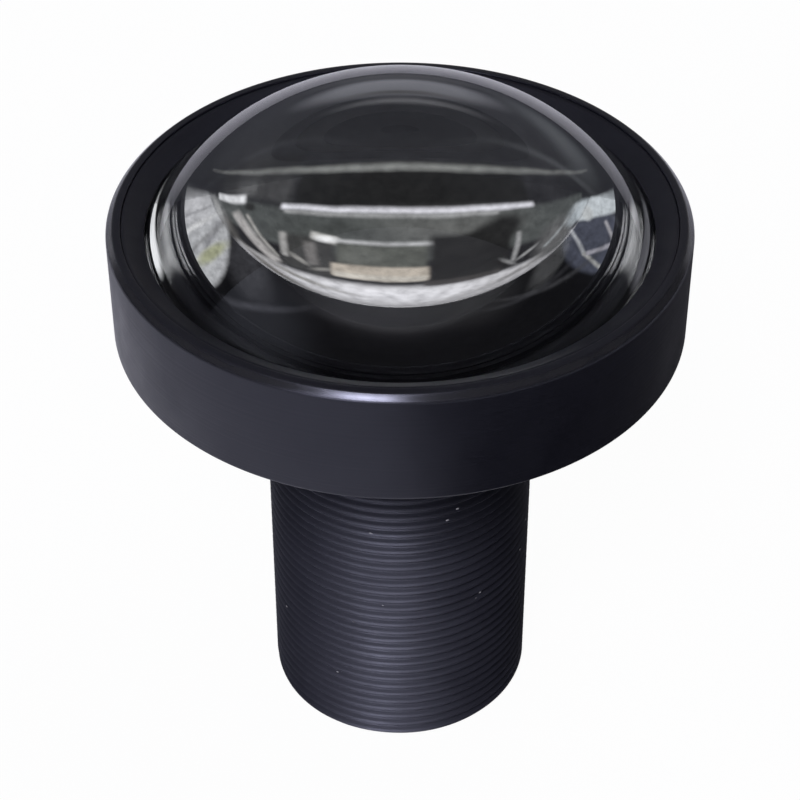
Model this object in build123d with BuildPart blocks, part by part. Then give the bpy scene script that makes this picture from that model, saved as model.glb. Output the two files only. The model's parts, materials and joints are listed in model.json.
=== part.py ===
"""Fixed-focus wide-angle lens with an M12 x 0.5 barrel, standing on its rear end.

Z runs along the optical axis from the rear end of the barrel, z = 0, to the front dome.
Every piece is turned about that axis. A section is drawn in the XZ plane, where the first
value is the distance from the axis and the second is the height. Sizes are in millimetres.
"""

import os
from math import ceil, sqrt

from build123d import *
from build123d.topology import SkipClean

# Barrel thread, M12 x 0.5
THREAD_MAJOR_R = 6.0
THREAD_PITCH = 0.5
THREAD_DEPTH = 0.6134 * THREAD_PITCH
FLANK_SLOPE = 0.57735
LEAD_IN = 0.4
GROOVE_OVERSHOOT = 0.03
GROOVE_START_Z = -0.61
GROOVE_START_ANGLE = 45

# Neck of the barrel, which starts below the shoulder and holds the head
NECK_R = 5.65
NECK_BELOW_SHOULDER = 0.8

# Outside of the head. The shoulder is its underside.
SHOULDER_Z = 20.7
SHOULDER_HOLE_R = 6.1
HEAD_FLOOR = 2.0
HEAD_R = 12.4
HEAD_HEIGHT = 5.38
RIM_CHAMFER = 0.3
SHOULDER_CHAMFER = 0.25

# Front lens: the dome, with a flat back
DOME_RADIUS = 13.15
DOME_APEX_Z = 31.04
FRONT_LENS_R = 11.0
FRONT_LENS_BACK_Z = 24.7

# Front retaining ring, whose sloped face is the bezel
RING_THREAD_R = 11.75
RING_REAR_Z = 24.95
RING_TOP_GAP = 0.08
BEZEL_OUTER_R = 11.6
BEZEL_INNER_R = 10.8
BEZEL_LIP_Z = 25.55

# Front seal ring
SEAL_R = 10.3
SEAL_WIRE_R = 0.4

# Front baffle: a shallow black funnel behind the front lens
BAFFLE_R = 9.55
BAFFLE_FRONT_Z = 24.6
BAFFLE_FRONT_HOLE_R = 9.3
BAFFLE_REAR_HOLE_R = 6.2
BAFFLE_LIP = 0.15

# Second lens, on the floor of the head
SECOND_LENS_R = 6.8
SECOND_LENS_EDGE = 0.8
FRONT_SHIELD_HOLE_R = 6.0
SHIELD_THICKNESS = 0.1

# Barrel bore, with the lip that the stack rests on
LIP_HOLE_R = 3.9
LIP_REAR_Z = 20.5
BORE_R = 5.0
STACK_R = 4.95
SPACER_HOLE_R = 4.2

# Length along the axis of each piece of the stack, at its rim, from the lip to the rear
THIRD_LENS_EDGE = 1.6
FRONT_SPACER_LENGTH = 1.5
FOURTH_LENS_EDGE = 2.3
STOP_SPACER_LENGTH = 1.2
STOP_THICKNESS = 0.1
DOUBLET_SPACER_LENGTH = 1.0
FIFTH_LENS_EDGE = 1.3
SIXTH_LENS_EDGE = 2.0
MIDDLE_SPACER_LENGTH = 1.7
SEVENTH_LENS_EDGE = 2.1
REAR_SPACER_LENGTH = 1.3
EIGHTH_LENS_EDGE = 1.3
REAR_RING_LENGTH = 1.6
FILTER_SEAT_LENGTH = 0.6
FILTER_THICKNESS = 0.5

# Polished surfaces: radius of the rim, and height of the middle above the rim
SECOND_FRONT = (6.0, 1.0)
SECOND_REAR = (3.7, 1.1)
THIRD_FRONT = (3.6, -0.35)
THIRD_REAR = (3.4, 0.5)
FOURTH_FRONT = (4.0, 0.9)
FOURTH_REAR = (4.0, -0.4)
FIFTH_FRONT = (4.1, 0.7)
CEMENTED = (STACK_R, -1.3)
SIXTH_REAR = (4.0, -0.3)
SEVENTH_FRONT = (4.0, 0.8)
SEVENTH_REAR = (3.8, -0.6)
EIGHTH_FRONT = (4.0, -0.25)
EIGHTH_REAR = (3.7, 0.15)
CEMENT_FILM = 0.01

# Aperture stop and rear end
STOP_HOLE_R = 1.6
REAR_RING_HOLE_R = 3.9
SPANNER_SLOT_WIDTH = 0.8
SPANNER_SLOT_DEPTH = 0.6
FILTER_R = 4.75
BEAD_RISE = 0.25
BEAD_RADIUS = 0.4

# Radial play of a piece that drops into a bore, and of a ring in its thread
PLAY = 0.05
THREAD_PLAY = 0.02


def polygon_section(corners):
    """Section with straight sides, from corners given as distance from the axis and height."""
    with BuildSketch(Plane.XZ) as section:
        with BuildLine():
            Polyline(*corners, close=True)
        make_face()
    return section.sketch


def ring_section(inner_r, outer_r, rear_z, front_z):
    """Section of a plain ring."""
    return polygon_section([(inner_r, rear_z), (outer_r, rear_z), (outer_r, front_z), (inner_r, front_z)])


def lens_section(edge_r, front_z, front, rear_z, rear):
    """Section of a lens element.

    Its ground edge runs from rear_z to front_z. The front and rear surfaces are each given as
    the radius of their rim and the height of their middle above it. So a front surface with
    a positive height bulges, and a rear one is hollow. A flat land lies outside each rim.
    """
    front_r, front_sag = front
    rear_r, rear_sag = rear
    edge = [(front_r, front_z), (edge_r, front_z), (edge_r, rear_z), (rear_r, rear_z)]
    front_apex = (0, front_z + front_sag)
    rear_apex = (0, rear_z + rear_sag)
    with BuildSketch(Plane.XZ) as section:
        with BuildLine():
            TangentArc(front_apex, (front_r, front_z), tangent=(1, 0))
            Polyline(*dict.fromkeys(edge))
            TangentArc(rear_apex, (rear_r, rear_z), tangent=(1, 0))
            Line(rear_apex, front_apex)
        make_face()
    return section.sketch


def sphere_height(radius, apex_z, r):
    """Height of a dome of the given radius and apex, at the distance r from the axis."""
    return apex_z - radius + sqrt(radius**2 - r**2)


os.makedirs("parts", exist_ok=True)
head_floor_z = SHOULDER_Z + HEAD_FLOOR
rim_z = SHOULDER_Z + HEAD_HEIGHT
seal_floor_z = FRONT_LENS_BACK_Z - 2 * SEAL_WIRE_R

# One turn of the thread groove, which is the space between two ridges
thread_top_z = SHOULDER_Z - NECK_BELOW_SHOULDER
root_half_width = THREAD_PITCH / 12
groove_reach = THREAD_DEPTH + GROOVE_OVERSHOOT
mouth_half_width = root_half_width + groove_reach * FLANK_SLOPE
with BuildPart() as groove_turn:
    with BuildLine() as helix:
        Helix(
            pitch=THREAD_PITCH,
            height=THREAD_PITCH,
            radius=THREAD_MAJOR_R - THREAD_DEPTH,
            center=(0, 0, GROOVE_START_Z),
        )
    with BuildSketch(Plane(origin=helix.line @ 0, x_dir=(1, 0, 0), z_dir=helix.line % 0)):
        with BuildLine():
            Polyline(
                (0, -root_half_width),
                (groove_reach, -mouth_half_width),
                (groove_reach, mouth_half_width),
                (0, root_half_width),
                close=True,
            )
        make_face()
    sweep(is_frenet=True)

# Barrel: the threaded tube that holds the stack, with a lip inside and a neck for the head.
# It is turned a quarter at a time and the quarters are not merged, so that each round wall
# is in four parts, and so is each turn of the thread's crest. The groove winds past both
# ends of the thread, and its turns join midway between two quarters.
barrel_corners = [
    (BORE_R, 0),
    (THREAD_MAJOR_R - LEAD_IN, 0),
    (THREAD_MAJOR_R, LEAD_IN),
    (THREAD_MAJOR_R, thread_top_z),
    (NECK_R, thread_top_z),
    (NECK_R, head_floor_z),
    (LIP_HOLE_R, head_floor_z),
    (LIP_HOLE_R, LIP_REAR_Z),
    (BORE_R, LIP_REAR_Z),
]
turns = ceil((thread_top_z - GROOVE_START_Z) / THREAD_PITCH)
turn_places = [Location((0, 0, THREAD_PITCH * turn), (0, 0, GROOVE_START_ANGLE)) for turn in range(turns)]
with BuildPart() as barrel:
    with SkipClean():
        for quarter in range(4):
            quarter_section = polygon_section(barrel_corners).rotate(Axis.Z, 90 * quarter)
            revolve(quarter_section, axis=Axis.Z, revolution_arc=90, clean=False)
        with Locations(*turn_places):
            add(groove_turn.part, mode=Mode.SUBTRACT, clean=False)
barrel.part.label = "barrel"
export_step(barrel.part, "parts/barrel.step")

# Head: a round cup screwed on the neck. Its steps, from the rim inwards, take the front
# retaining ring, the front lens, the seal ring and the baffle.
ring_bore_r = RING_THREAD_R + THREAD_PLAY
ring_bore_z = RING_REAR_Z - PLAY
lens_bore_r = FRONT_LENS_R + PLAY
seal_bore_r = SEAL_R + SEAL_WIRE_R
cavity_r = BAFFLE_R + PLAY
neck_bore_r = NECK_R + THREAD_PLAY
head_corners = [
    (neck_bore_r, SHOULDER_Z + SHOULDER_HOLE_R - neck_bore_r),
    (SHOULDER_HOLE_R, SHOULDER_Z),
    (HEAD_R - SHOULDER_CHAMFER, SHOULDER_Z),
    (HEAD_R, SHOULDER_Z + SHOULDER_CHAMFER),
    (HEAD_R, rim_z - RIM_CHAMFER),
    (HEAD_R - RIM_CHAMFER, rim_z),
    (ring_bore_r, rim_z),
    (ring_bore_r, ring_bore_z),
    (lens_bore_r, ring_bore_z),
    (lens_bore_r, FRONT_LENS_BACK_Z),
    (seal_bore_r, FRONT_LENS_BACK_Z),
    (seal_bore_r, seal_floor_z),
    (cavity_r, seal_floor_z),
    (cavity_r, head_floor_z),
    (neck_bore_r, head_floor_z),
]
with BuildPart() as head:
    revolve(polygon_section(head_corners), axis=Axis.Z)
head.part.label = "head"
export_step(head.part, "parts/head.step")

# Front retaining ring: threaded outside, with a sloped lip, the bezel, that holds the front
# lens down. The underside of the lip follows the dome.
lip_radius = DOME_RADIUS + THREAD_PLAY
lip_apex_z = DOME_APEX_Z + THREAD_PLAY
lip_tip = (BEZEL_INNER_R, sphere_height(lip_radius, lip_apex_z, BEZEL_INNER_R))
lip_root = (lens_bore_r, sphere_height(lip_radius, lip_apex_z, lens_bore_r))
ring_top_z = rim_z - RING_TOP_GAP
with BuildPart() as front_retaining_ring:
    with BuildSketch(Plane.XZ):
        with BuildLine():
            Polyline(
                lip_root,
                (lens_bore_r, RING_REAR_Z),
                (RING_THREAD_R, RING_REAR_Z),
                (RING_THREAD_R, ring_top_z),
                (BEZEL_OUTER_R, ring_top_z),
                (BEZEL_INNER_R, BEZEL_LIP_Z),
                lip_tip,
            )
            RadiusArc(lip_tip, lip_root, lip_radius)
        make_face()
    revolve(axis=Axis.Z)
front_retaining_ring.part.label = "front_retaining_ring"
export_step(front_retaining_ring.part, "parts/front_retaining_ring.step")

# Front seal ring: a round rubber ring squeezed under the rim of the front lens
with BuildPart() as front_seal_ring:
    with BuildSketch(Plane.XZ):
        with Locations((SEAL_R, seal_floor_z + SEAL_WIRE_R)):
            Circle(SEAL_WIRE_R)
    revolve(axis=Axis.Z)
front_seal_ring.part.label = "front_seal_ring"
export_step(front_seal_ring.part, "parts/front_seal_ring.step")

# Front lens: bulged in front, the dome, and flat behind
dome_edge_z = sphere_height(DOME_RADIUS, DOME_APEX_Z, FRONT_LENS_R)
with BuildPart() as front_lens:
    with BuildSketch(Plane.XZ):
        with BuildLine():
            TangentArc((0, DOME_APEX_Z), (FRONT_LENS_R, dome_edge_z), tangent=(1, 0))
            Polyline(
                (FRONT_LENS_R, dome_edge_z),
                (FRONT_LENS_R, FRONT_LENS_BACK_Z),
                (0, FRONT_LENS_BACK_Z),
                (0, DOME_APEX_Z),
            )
        make_face()
    revolve(axis=Axis.Z)
front_lens.part.label = "front_lens"
export_step(front_lens.part, "parts/front_lens.step")

# Front baffle: a black ring round the second lens, with a funnel towards the front lens
second_lens_front_z = head_floor_z + SECOND_LENS_EDGE
baffle_lip_z = second_lens_front_z + SHIELD_THICKNESS
baffle_corners = [
    (SECOND_LENS_R + PLAY, head_floor_z),
    (BAFFLE_R, head_floor_z),
    (BAFFLE_R, BAFFLE_FRONT_Z),
    (BAFFLE_FRONT_HOLE_R, BAFFLE_FRONT_Z),
    (BAFFLE_REAR_HOLE_R, baffle_lip_z + BAFFLE_LIP),
    (BAFFLE_REAR_HOLE_R, baffle_lip_z),
    (SECOND_LENS_R + PLAY, baffle_lip_z),
]
with BuildPart() as front_baffle:
    revolve(polygon_section(baffle_corners), axis=Axis.Z)
front_baffle.part.label = "front_baffle"
export_step(front_baffle.part, "parts/front_baffle.step")

# Front light shield: a thin black washer between the second lens and the baffle's lip
with BuildPart() as front_light_shield:
    revolve(
        ring_section(FRONT_SHIELD_HOLE_R, SECOND_LENS_R, second_lens_front_z, baffle_lip_z),
        axis=Axis.Z,
    )
front_light_shield.part.label = "front_light_shield"
export_step(front_light_shield.part, "parts/front_light_shield.step")

# Second lens: a meniscus on the floor of the head
with BuildPart() as second_lens:
    revolve(
        lens_section(SECOND_LENS_R, second_lens_front_z, SECOND_FRONT, head_floor_z, SECOND_REAR),
        axis=Axis.Z,
    )
second_lens.part.label = "second_lens"
export_step(second_lens.part, "parts/second_lens.step")

# Third lens: hollow on both sides, against the lip
front_spacer_z = LIP_REAR_Z - THIRD_LENS_EDGE
with BuildPart() as third_lens:
    revolve(lens_section(STACK_R, LIP_REAR_Z, THIRD_FRONT, front_spacer_z, THIRD_REAR), axis=Axis.Z)
third_lens.part.label = "third_lens"
export_step(third_lens.part, "parts/third_lens.step")

# Front spacer, between the third and fourth lenses
fourth_lens_z = front_spacer_z - FRONT_SPACER_LENGTH
with BuildPart() as front_spacer:
    revolve(ring_section(SPACER_HOLE_R, STACK_R, fourth_lens_z, front_spacer_z), axis=Axis.Z)
front_spacer.part.label = "front_spacer"
export_step(front_spacer.part, "parts/front_spacer.step")

# Fourth lens: thick, and bulged on both sides
stop_spacer_z = fourth_lens_z - FOURTH_LENS_EDGE
with BuildPart() as fourth_lens:
    revolve(lens_section(STACK_R, fourth_lens_z, FOURTH_FRONT, stop_spacer_z, FOURTH_REAR), axis=Axis.Z)
fourth_lens.part.label = "fourth_lens"
export_step(fourth_lens.part, "parts/fourth_lens.step")

# Stop spacer, in front of the aperture stop
stop_z = stop_spacer_z - STOP_SPACER_LENGTH
with BuildPart() as stop_spacer:
    revolve(ring_section(SPACER_HOLE_R, STACK_R, stop_z, stop_spacer_z), axis=Axis.Z)
stop_spacer.part.label = "stop_spacer"
export_step(stop_spacer.part, "parts/stop_spacer.step")

# Aperture stop: a thin plate with the hole that limits the light
doublet_spacer_z = stop_z - STOP_THICKNESS
with BuildPart() as aperture_stop:
    with BuildSketch(Plane.XY.offset(doublet_spacer_z)):
        Circle(STACK_R)
        Circle(STOP_HOLE_R, mode=Mode.SUBTRACT)
    extrude(amount=STOP_THICKNESS)
aperture_stop.part.label = "aperture_stop"
export_step(aperture_stop.part, "parts/aperture_stop.step")

# Doublet spacer, behind the aperture stop
fifth_lens_z = doublet_spacer_z - DOUBLET_SPACER_LENGTH
with BuildPart() as doublet_spacer:
    revolve(ring_section(SPACER_HOLE_R, STACK_R, fifth_lens_z, doublet_spacer_z), axis=Axis.Z)
doublet_spacer.part.label = "doublet_spacer"
export_step(doublet_spacer.part, "parts/doublet_spacer.step")

# Fifth lens: the front half of the doublet
cement_z = fifth_lens_z - FIFTH_LENS_EDGE
with BuildPart() as fifth_lens:
    revolve(lens_section(STACK_R, fifth_lens_z, FIFTH_FRONT, cement_z, CEMENTED), axis=Axis.Z)
fifth_lens.part.label = "fifth_lens"
export_step(fifth_lens.part, "parts/fifth_lens.step")

# Sixth lens: the rear half of the doublet, cemented to the fifth
sixth_lens_z = cement_z - CEMENT_FILM
middle_spacer_z = cement_z - SIXTH_LENS_EDGE
with BuildPart() as sixth_lens:
    revolve(lens_section(STACK_R, sixth_lens_z, CEMENTED, middle_spacer_z, SIXTH_REAR), axis=Axis.Z)
sixth_lens.part.label = "sixth_lens"
export_step(sixth_lens.part, "parts/sixth_lens.step")

# Middle spacer, behind the doublet
seventh_lens_z = middle_spacer_z - MIDDLE_SPACER_LENGTH
with BuildPart() as middle_spacer:
    revolve(ring_section(SPACER_HOLE_R, STACK_R, seventh_lens_z, middle_spacer_z), axis=Axis.Z)
middle_spacer.part.label = "middle_spacer"
export_step(middle_spacer.part, "parts/middle_spacer.step")

# Seventh lens: bulged on both sides
rear_shield_z = seventh_lens_z - SEVENTH_LENS_EDGE
with BuildPart() as seventh_lens:
    revolve(lens_section(STACK_R, seventh_lens_z, SEVENTH_FRONT, rear_shield_z, SEVENTH_REAR), axis=Axis.Z)
seventh_lens.part.label = "seventh_lens"
export_step(seventh_lens.part, "parts/seventh_lens.step")

# Rear light shield: a thin black washer
rear_spacer_z = rear_shield_z - SHIELD_THICKNESS
with BuildPart() as rear_light_shield:
    revolve(ring_section(SEVENTH_REAR[0], STACK_R, rear_spacer_z, rear_shield_z), axis=Axis.Z)
rear_light_shield.part.label = "rear_light_shield"
export_step(rear_light_shield.part, "parts/rear_light_shield.step")

# Rear spacer, in front of the field lens
eighth_lens_z = rear_spacer_z - REAR_SPACER_LENGTH
with BuildPart() as rear_spacer:
    revolve(ring_section(SPACER_HOLE_R, STACK_R, eighth_lens_z, rear_spacer_z), axis=Axis.Z)
rear_spacer.part.label = "rear_spacer"
export_step(rear_spacer.part, "parts/rear_spacer.step")

# Eighth lens: the rear field lens
rear_ring_z = eighth_lens_z - EIGHTH_LENS_EDGE
with BuildPart() as eighth_lens:
    revolve(lens_section(STACK_R, eighth_lens_z, EIGHTH_FRONT, rear_ring_z, EIGHTH_REAR), axis=Axis.Z)
eighth_lens.part.label = "eighth_lens"
export_step(eighth_lens.part, "parts/eighth_lens.step")

# Rear retaining ring: threaded, with a slot across its rear face for a spanner
filter_seat_z = rear_ring_z - REAR_RING_LENGTH
with BuildPart() as rear_retaining_ring:
    revolve(ring_section(REAR_RING_HOLE_R, BORE_R - THREAD_PLAY, filter_seat_z, rear_ring_z), axis=Axis.Z)
    with BuildSketch(Plane.XY.offset(filter_seat_z)):
        Rectangle(2 * BORE_R, SPANNER_SLOT_WIDTH)
    extrude(amount=SPANNER_SLOT_DEPTH, mode=Mode.SUBTRACT)
rear_retaining_ring.part.label = "rear_retaining_ring"
export_step(rear_retaining_ring.part, "parts/rear_retaining_ring.step")

# Filter seat: a thin ring that carries the filter
filter_z = filter_seat_z - FILTER_SEAT_LENGTH
with BuildPart() as filter_seat:
    revolve(ring_section(SPACER_HOLE_R, STACK_R, filter_z, filter_seat_z), axis=Axis.Z)
filter_seat.part.label = "filter_seat"
export_step(filter_seat.part, "parts/filter_seat.step")

# Infrared filter: a thin flat disc of coated glass
filter_rear_z = filter_z - FILTER_THICKNESS
with BuildPart() as ir_cut_filter:
    with BuildSketch(Plane.XY.offset(filter_rear_z)):
        Circle(FILTER_R)
    extrude(amount=FILTER_THICKNESS)
ir_cut_filter.part.label = "ir_cut_filter"
export_step(ir_cut_filter.part, "parts/ir_cut_filter.step")

# Filter adhesive: a bead with a hollow face, between the filter's edge and the bore
bead_inner = (FILTER_R, filter_rear_z)
bead_outer = (BORE_R, filter_rear_z - BEAD_RISE)
with BuildPart() as filter_adhesive:
    with BuildSketch(Plane.XZ):
        with BuildLine():
            Polyline(bead_inner, (FILTER_R, filter_z), (BORE_R, filter_z), bead_outer)
            RadiusArc(bead_inner, bead_outer, BEAD_RADIUS)
        make_face()
    revolve(axis=Axis.Z)
filter_adhesive.part.label = "filter_adhesive"
export_step(filter_adhesive.part, "parts/filter_adhesive.step")
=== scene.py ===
# %% [markdown]
# # A wide-angle board camera lens
# The lens stands on its rear end, as it does on a photographer's table. It has a wide black
# head, a high glass dome in a matte bezel and a long barrel with a fine screw thread.
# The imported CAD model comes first. It gives every size and place, and the pieces made below
# take over those of its parts whose surface the eye rests on.

# %% Load the CAD frame
import json
import math
from functools import partial

import bmesh
import bpy
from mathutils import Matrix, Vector

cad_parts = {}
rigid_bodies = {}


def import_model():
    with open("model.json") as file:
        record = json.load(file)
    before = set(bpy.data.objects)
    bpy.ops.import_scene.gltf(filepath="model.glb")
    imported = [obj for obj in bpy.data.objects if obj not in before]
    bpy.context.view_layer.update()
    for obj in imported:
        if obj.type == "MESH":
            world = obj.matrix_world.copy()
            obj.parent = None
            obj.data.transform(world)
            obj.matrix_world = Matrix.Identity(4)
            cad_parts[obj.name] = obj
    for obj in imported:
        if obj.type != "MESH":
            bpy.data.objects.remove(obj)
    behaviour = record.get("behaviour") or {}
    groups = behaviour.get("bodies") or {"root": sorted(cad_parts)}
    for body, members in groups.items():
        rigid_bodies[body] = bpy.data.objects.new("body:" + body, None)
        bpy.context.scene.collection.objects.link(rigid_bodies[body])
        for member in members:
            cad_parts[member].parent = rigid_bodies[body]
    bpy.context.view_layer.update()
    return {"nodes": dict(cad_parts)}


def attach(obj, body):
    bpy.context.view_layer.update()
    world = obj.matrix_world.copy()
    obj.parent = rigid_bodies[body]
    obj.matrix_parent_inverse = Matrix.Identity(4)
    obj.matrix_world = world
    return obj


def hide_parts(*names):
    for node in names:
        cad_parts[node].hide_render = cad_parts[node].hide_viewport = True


for leftover in list(bpy.data.objects):
    bpy.data.objects.remove(leftover)
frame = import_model()
scene = bpy.context.scene
scene.view_settings.view_transform = "Standard"
MM = 0.001

# %% [markdown]
# ## The camera
# The photograph was taken from quite close, about 40 degrees above the table, so the head
# hides the top of the barrel. The place and the lens below were found from the outline of
# the head, the dome and the barrel. A near camera matters here: from far away the rim would
# look flatter and the dome would hide less of it.

# %% Camera
CAMERA_PLACE = (0.0, -80.80, 82.11)
CAMERA_TARGET = (0.0, 0.0, 15.82)
SENSOR_WIDTH, FOCAL_LENGTH = 36, 104.57
camera_data = bpy.data.cameras.new("camera")
camera_data.sensor_width = SENSOR_WIDTH
camera_data.lens = FOCAL_LENGTH
camera_data.clip_start = 1 * MM
camera = bpy.data.objects.new("camera", camera_data)
camera.location = Vector(CAMERA_PLACE) * MM
aim = (Vector(CAMERA_TARGET) - Vector(CAMERA_PLACE)) * MM
camera.rotation_euler = aim.to_track_quat("-Z", "Y").to_euler()
scene.collection.objects.link(camera)
scene.camera = camera
print("camera distance mm", round(aim.length / MM, 1))

# %% [markdown]
# ## Turned pieces
# Nearly everything here was cut on a lathe, so a piece is its half section spun round the
# axis. Blender's Screw modifier could do that, but a small function that writes the rings of
# points itself gives closed meshes with true poles, and lets each corner of the section be
# rounded first. Real edges are never perfectly sharp, and the thin bright line that a
# rounded edge catches is much of what makes metal look like metal.

# %% Rounded sections
ROUND_STEPS = 4
MOST_OF_A_SIDE = 0.45
LEAST_ROUNDING = 1e-4


def rounded(corners, radius):
    """A closed section with rounded corners. Each corner is its distance from the axis and its
    height, and may name its own radius."""
    points = []
    count = len(corners)
    for i, corner in enumerate(corners):
        here = Vector(corner[:2])
        before = Vector(corners[i - 1][:2])
        after = Vector(corners[(i + 1) % count][:2])
        size = corner[2] if len(corner) > 2 else radius
        to_before, to_after = before - here, after - here
        size = min(size, to_before.length * MOST_OF_A_SIDE, to_after.length * MOST_OF_A_SIDE)
        if size < LEAST_ROUNDING:
            points.append(tuple(here))
            continue
        start = here + to_before.normalized() * size
        end = here + to_after.normalized() * size
        for step in range(ROUND_STEPS + 1):
            t = step / ROUND_STEPS
            points.append(tuple(start * (1 - t) ** 2 + here * (2 * t * (1 - t)) + end * t**2))
    return points


print("points of a rounded square", len(rounded([(1, 0), (2, 0), (2, 1), (1, 1)], 0.1)))

# %% Lathe
ON_AXIS = 1e-9


def shade(mesh, sharp_degrees):
    """Smooth shading, with edges over the given angle kept sharp, and all faces turned outwards."""
    work = bmesh.new()
    work.from_mesh(mesh)
    bmesh.ops.recalc_face_normals(work, faces=work.faces)
    for face in work.faces:
        face.smooth = True
    for edge in work.edges:
        if len(edge.link_faces) == 2:
            edge.smooth = edge.calc_face_angle() < math.radians(sharp_degrees)
    work.to_mesh(mesh)
    work.free()


def lathe(name, section, segments=256, closed=True, sharp=40):
    """Spins a section, in millimetres, into a mesh object. A point on the axis becomes a pole."""
    vertices, faces, rings = [], [], []
    for radius, height in section:
        if abs(radius) < ON_AXIS:
            rings.append([len(vertices)] * segments)
            vertices.append((0, 0, height * MM))
            continue
        rings.append(list(range(len(vertices), len(vertices) + segments)))
        for k in range(segments):
            angle = math.tau * k / segments
            vertices.append((radius * math.cos(angle) * MM, radius * math.sin(angle) * MM, height * MM))
    for i in range(len(section) - (0 if closed else 1)):
        lower, upper = rings[i], rings[(i + 1) % len(section)]
        for k in range(segments):
            n = (k + 1) % segments
            corners = list(dict.fromkeys((lower[k], lower[n], upper[n], upper[k])))
            if len(corners) > 2:
                faces.append(corners)
    mesh = bpy.data.meshes.new(name)
    mesh.from_pydata(vertices, [], faces)
    shade(mesh, sharp)
    piece = bpy.data.objects.new(name, mesh)
    scene.collection.objects.link(piece)
    return piece


print("helpers", [helper.__name__ for helper in (shade, lathe)])


# %% Section of a ball
def ball_arc(apex, radius, reach, steps):
    """Section points on a ball, from its top on the axis out to the given distance from the axis."""
    full = math.asin(reach / radius)
    angles = [full * i / steps for i in range(steps + 1)]
    return [(radius * math.sin(a), apex - radius + radius * math.cos(a)) for a in angles]


print("points along a quarter circle", len(ball_arc(1.0, 1.0, 1.0, 8)))

# %% [markdown]
# ## Effects that several finishes share
# A shader node group is made once and placed in many materials, each with its own values.
# The first three are the fine rings that a cutting tool leaves round the axis, a soft
# cloudiness that keeps a black finish from looking like plastic, and dust that settles where
# a surface faces up. Two more are made with the head: one for a rubbed rim and a painted
# highlight on the baffle's edge, and one for painted light under the dome. All read Object
# coordinates, so each pattern stays put on its piece.

# %% Node helpers
FLOAT = "NodeSocketFloat"


def new_group(name, inputs, output):
    """A shader node group with named float inputs, given as name and value, and one output."""
    group = bpy.data.node_groups.new(name, "ShaderNodeTree")
    for socket, value in inputs.items():
        made = group.interface.new_socket(socket, in_out="INPUT", socket_type=FLOAT)
        made.default_value = value
    group.interface.new_socket(output, in_out="OUTPUT", socket_type=FLOAT)
    given = group.nodes.new("NodeGroupInput").outputs
    told = group.nodes.new("NodeGroupOutput").inputs[output]
    return group, given, told


def feed(tree, socket, value):
    """Gives an input a plain value, or a link from another node."""
    if isinstance(value, (int, float, tuple)):
        socket.default_value = value
    else:
        tree.links.new(value, socket)


def put(tree, kind, inputs=None, **values):
    """Adds a node, sets its properties and plain inputs, and feeds the inputs of the dictionary."""
    node = tree.nodes.new(kind)
    for key, value in values.items():
        if hasattr(node, key):
            setattr(node, key, value)
        else:
            node.inputs[key.replace("_", " ")].default_value = value
    for key, value in (inputs or {}).items():
        feed(tree, node.inputs[key], value)
    return node


print("helpers", [helper.__name__ for helper in (new_group, feed, put)])


# %% Helpers for sums and colours
def calc(tree, operation, *terms, clamp=False):
    """A Math node. Each term is a number or a socket."""
    node = put(tree, "ShaderNodeMath", dict(enumerate(terms)), operation=operation)
    node.use_clamp = clamp
    return node.outputs[0]


def hypot(tree, first, second):
    """The length of the long side of a right triangle."""
    squares = [calc(tree, "MULTIPLY", side, side) for side in (first, second)]
    return calc(tree, "SQRT", calc(tree, "ADD", *squares))


def remap(tree, value, from_span, to_span=(0.0, 1.0), interpolation="LINEAR"):
    """Moves a value from one span to another and holds it there."""
    node = put(tree, "ShaderNodeMapRange", {"Value": value}, interpolation_type=interpolation)
    for side, span in (("From", from_span), ("To", to_span)):
        for end, number in zip(("Min", "Max"), span):
            feed(tree, node.inputs[f"{side} {end}"], number)
    return node.outputs["Result"]


def mix_colours(tree, factor, first, second):
    """One colour laid over another. Each is a colour or a socket."""
    node = put(tree, "ShaderNodeMix", {"Factor": factor}, data_type="RGBA")
    for key, value in (("A", first), ("B", second)):
        feed(tree, node.inputs[key], value)
    return node.outputs["Result"]


def object_place(tree):
    """Object coordinates, then X, Y, Z and the distance from the axis, these four in millimetres."""
    place = put(tree, "ShaderNodeTexCoord").outputs["Object"]
    parts = put(tree, "ShaderNodeSeparateXYZ", {"Vector": place}).outputs
    x, y, z = (calc(tree, "DIVIDE", parts[axis], MM) for axis in "XYZ")
    return place, x, y, z, hypot(tree, x, y)


print("helpers", [helper.__name__ for helper in (calc, hypot, remap, mix_colours, object_place)])

# %% Turning marks
# Fine rings round the axis. On a wall they lie one above the other, and on a flat face they
# are circles, so the pattern runs along height plus distance from the axis.
turning_marks, given, told = new_group("turning_marks", {"Rings per mm": 6.0, "Wander": 0.3}, "Height")
math_node = partial(calc, turning_marks)
place, x, y, z, from_axis = object_place(turning_marks)
wander = put(turning_marks, "ShaderNodeTexNoise", {"Vector": place}, Scale=90.0, Detail=1.0)
shift = math_node("MULTIPLY", wander.outputs["Fac"], given["Wander"])
along = math_node("ADD", math_node("ADD", from_axis, z), shift)
ring_place = math_node("MULTIPLY", along, given["Rings per mm"])
rings = put(turning_marks, "ShaderNodeTexNoise", {"W": ring_place},
            noise_dimensions="1D", Scale=1.0, Detail=3.0)
turning_marks.links.new(rings.outputs["Fac"], told)
print("turning marks nodes", len(turning_marks.nodes))

# %% Cloudiness of a dyed finish
cloudiness, given, told = new_group("cloudiness", {"Size in mm": 3.0, "Least": 0.0, "Most": 1.0}, "Value")
place = put(cloudiness, "ShaderNodeTexCoord").outputs["Object"]
scale = calc(cloudiness, "DIVIDE", 1 / MM, given["Size in mm"])
patches = put(cloudiness, "ShaderNodeTexNoise", {"Vector": place, "Scale": scale}, Detail=4.0, Roughness=0.6)
NOISE_SPAN = (0.3, 0.7)
spread = remap(cloudiness, patches.outputs["Fac"], NOISE_SPAN, (given["Least"], given["Most"]))
cloudiness.links.new(spread, told)
print("cloudiness nodes", len(cloudiness.nodes))

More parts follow.
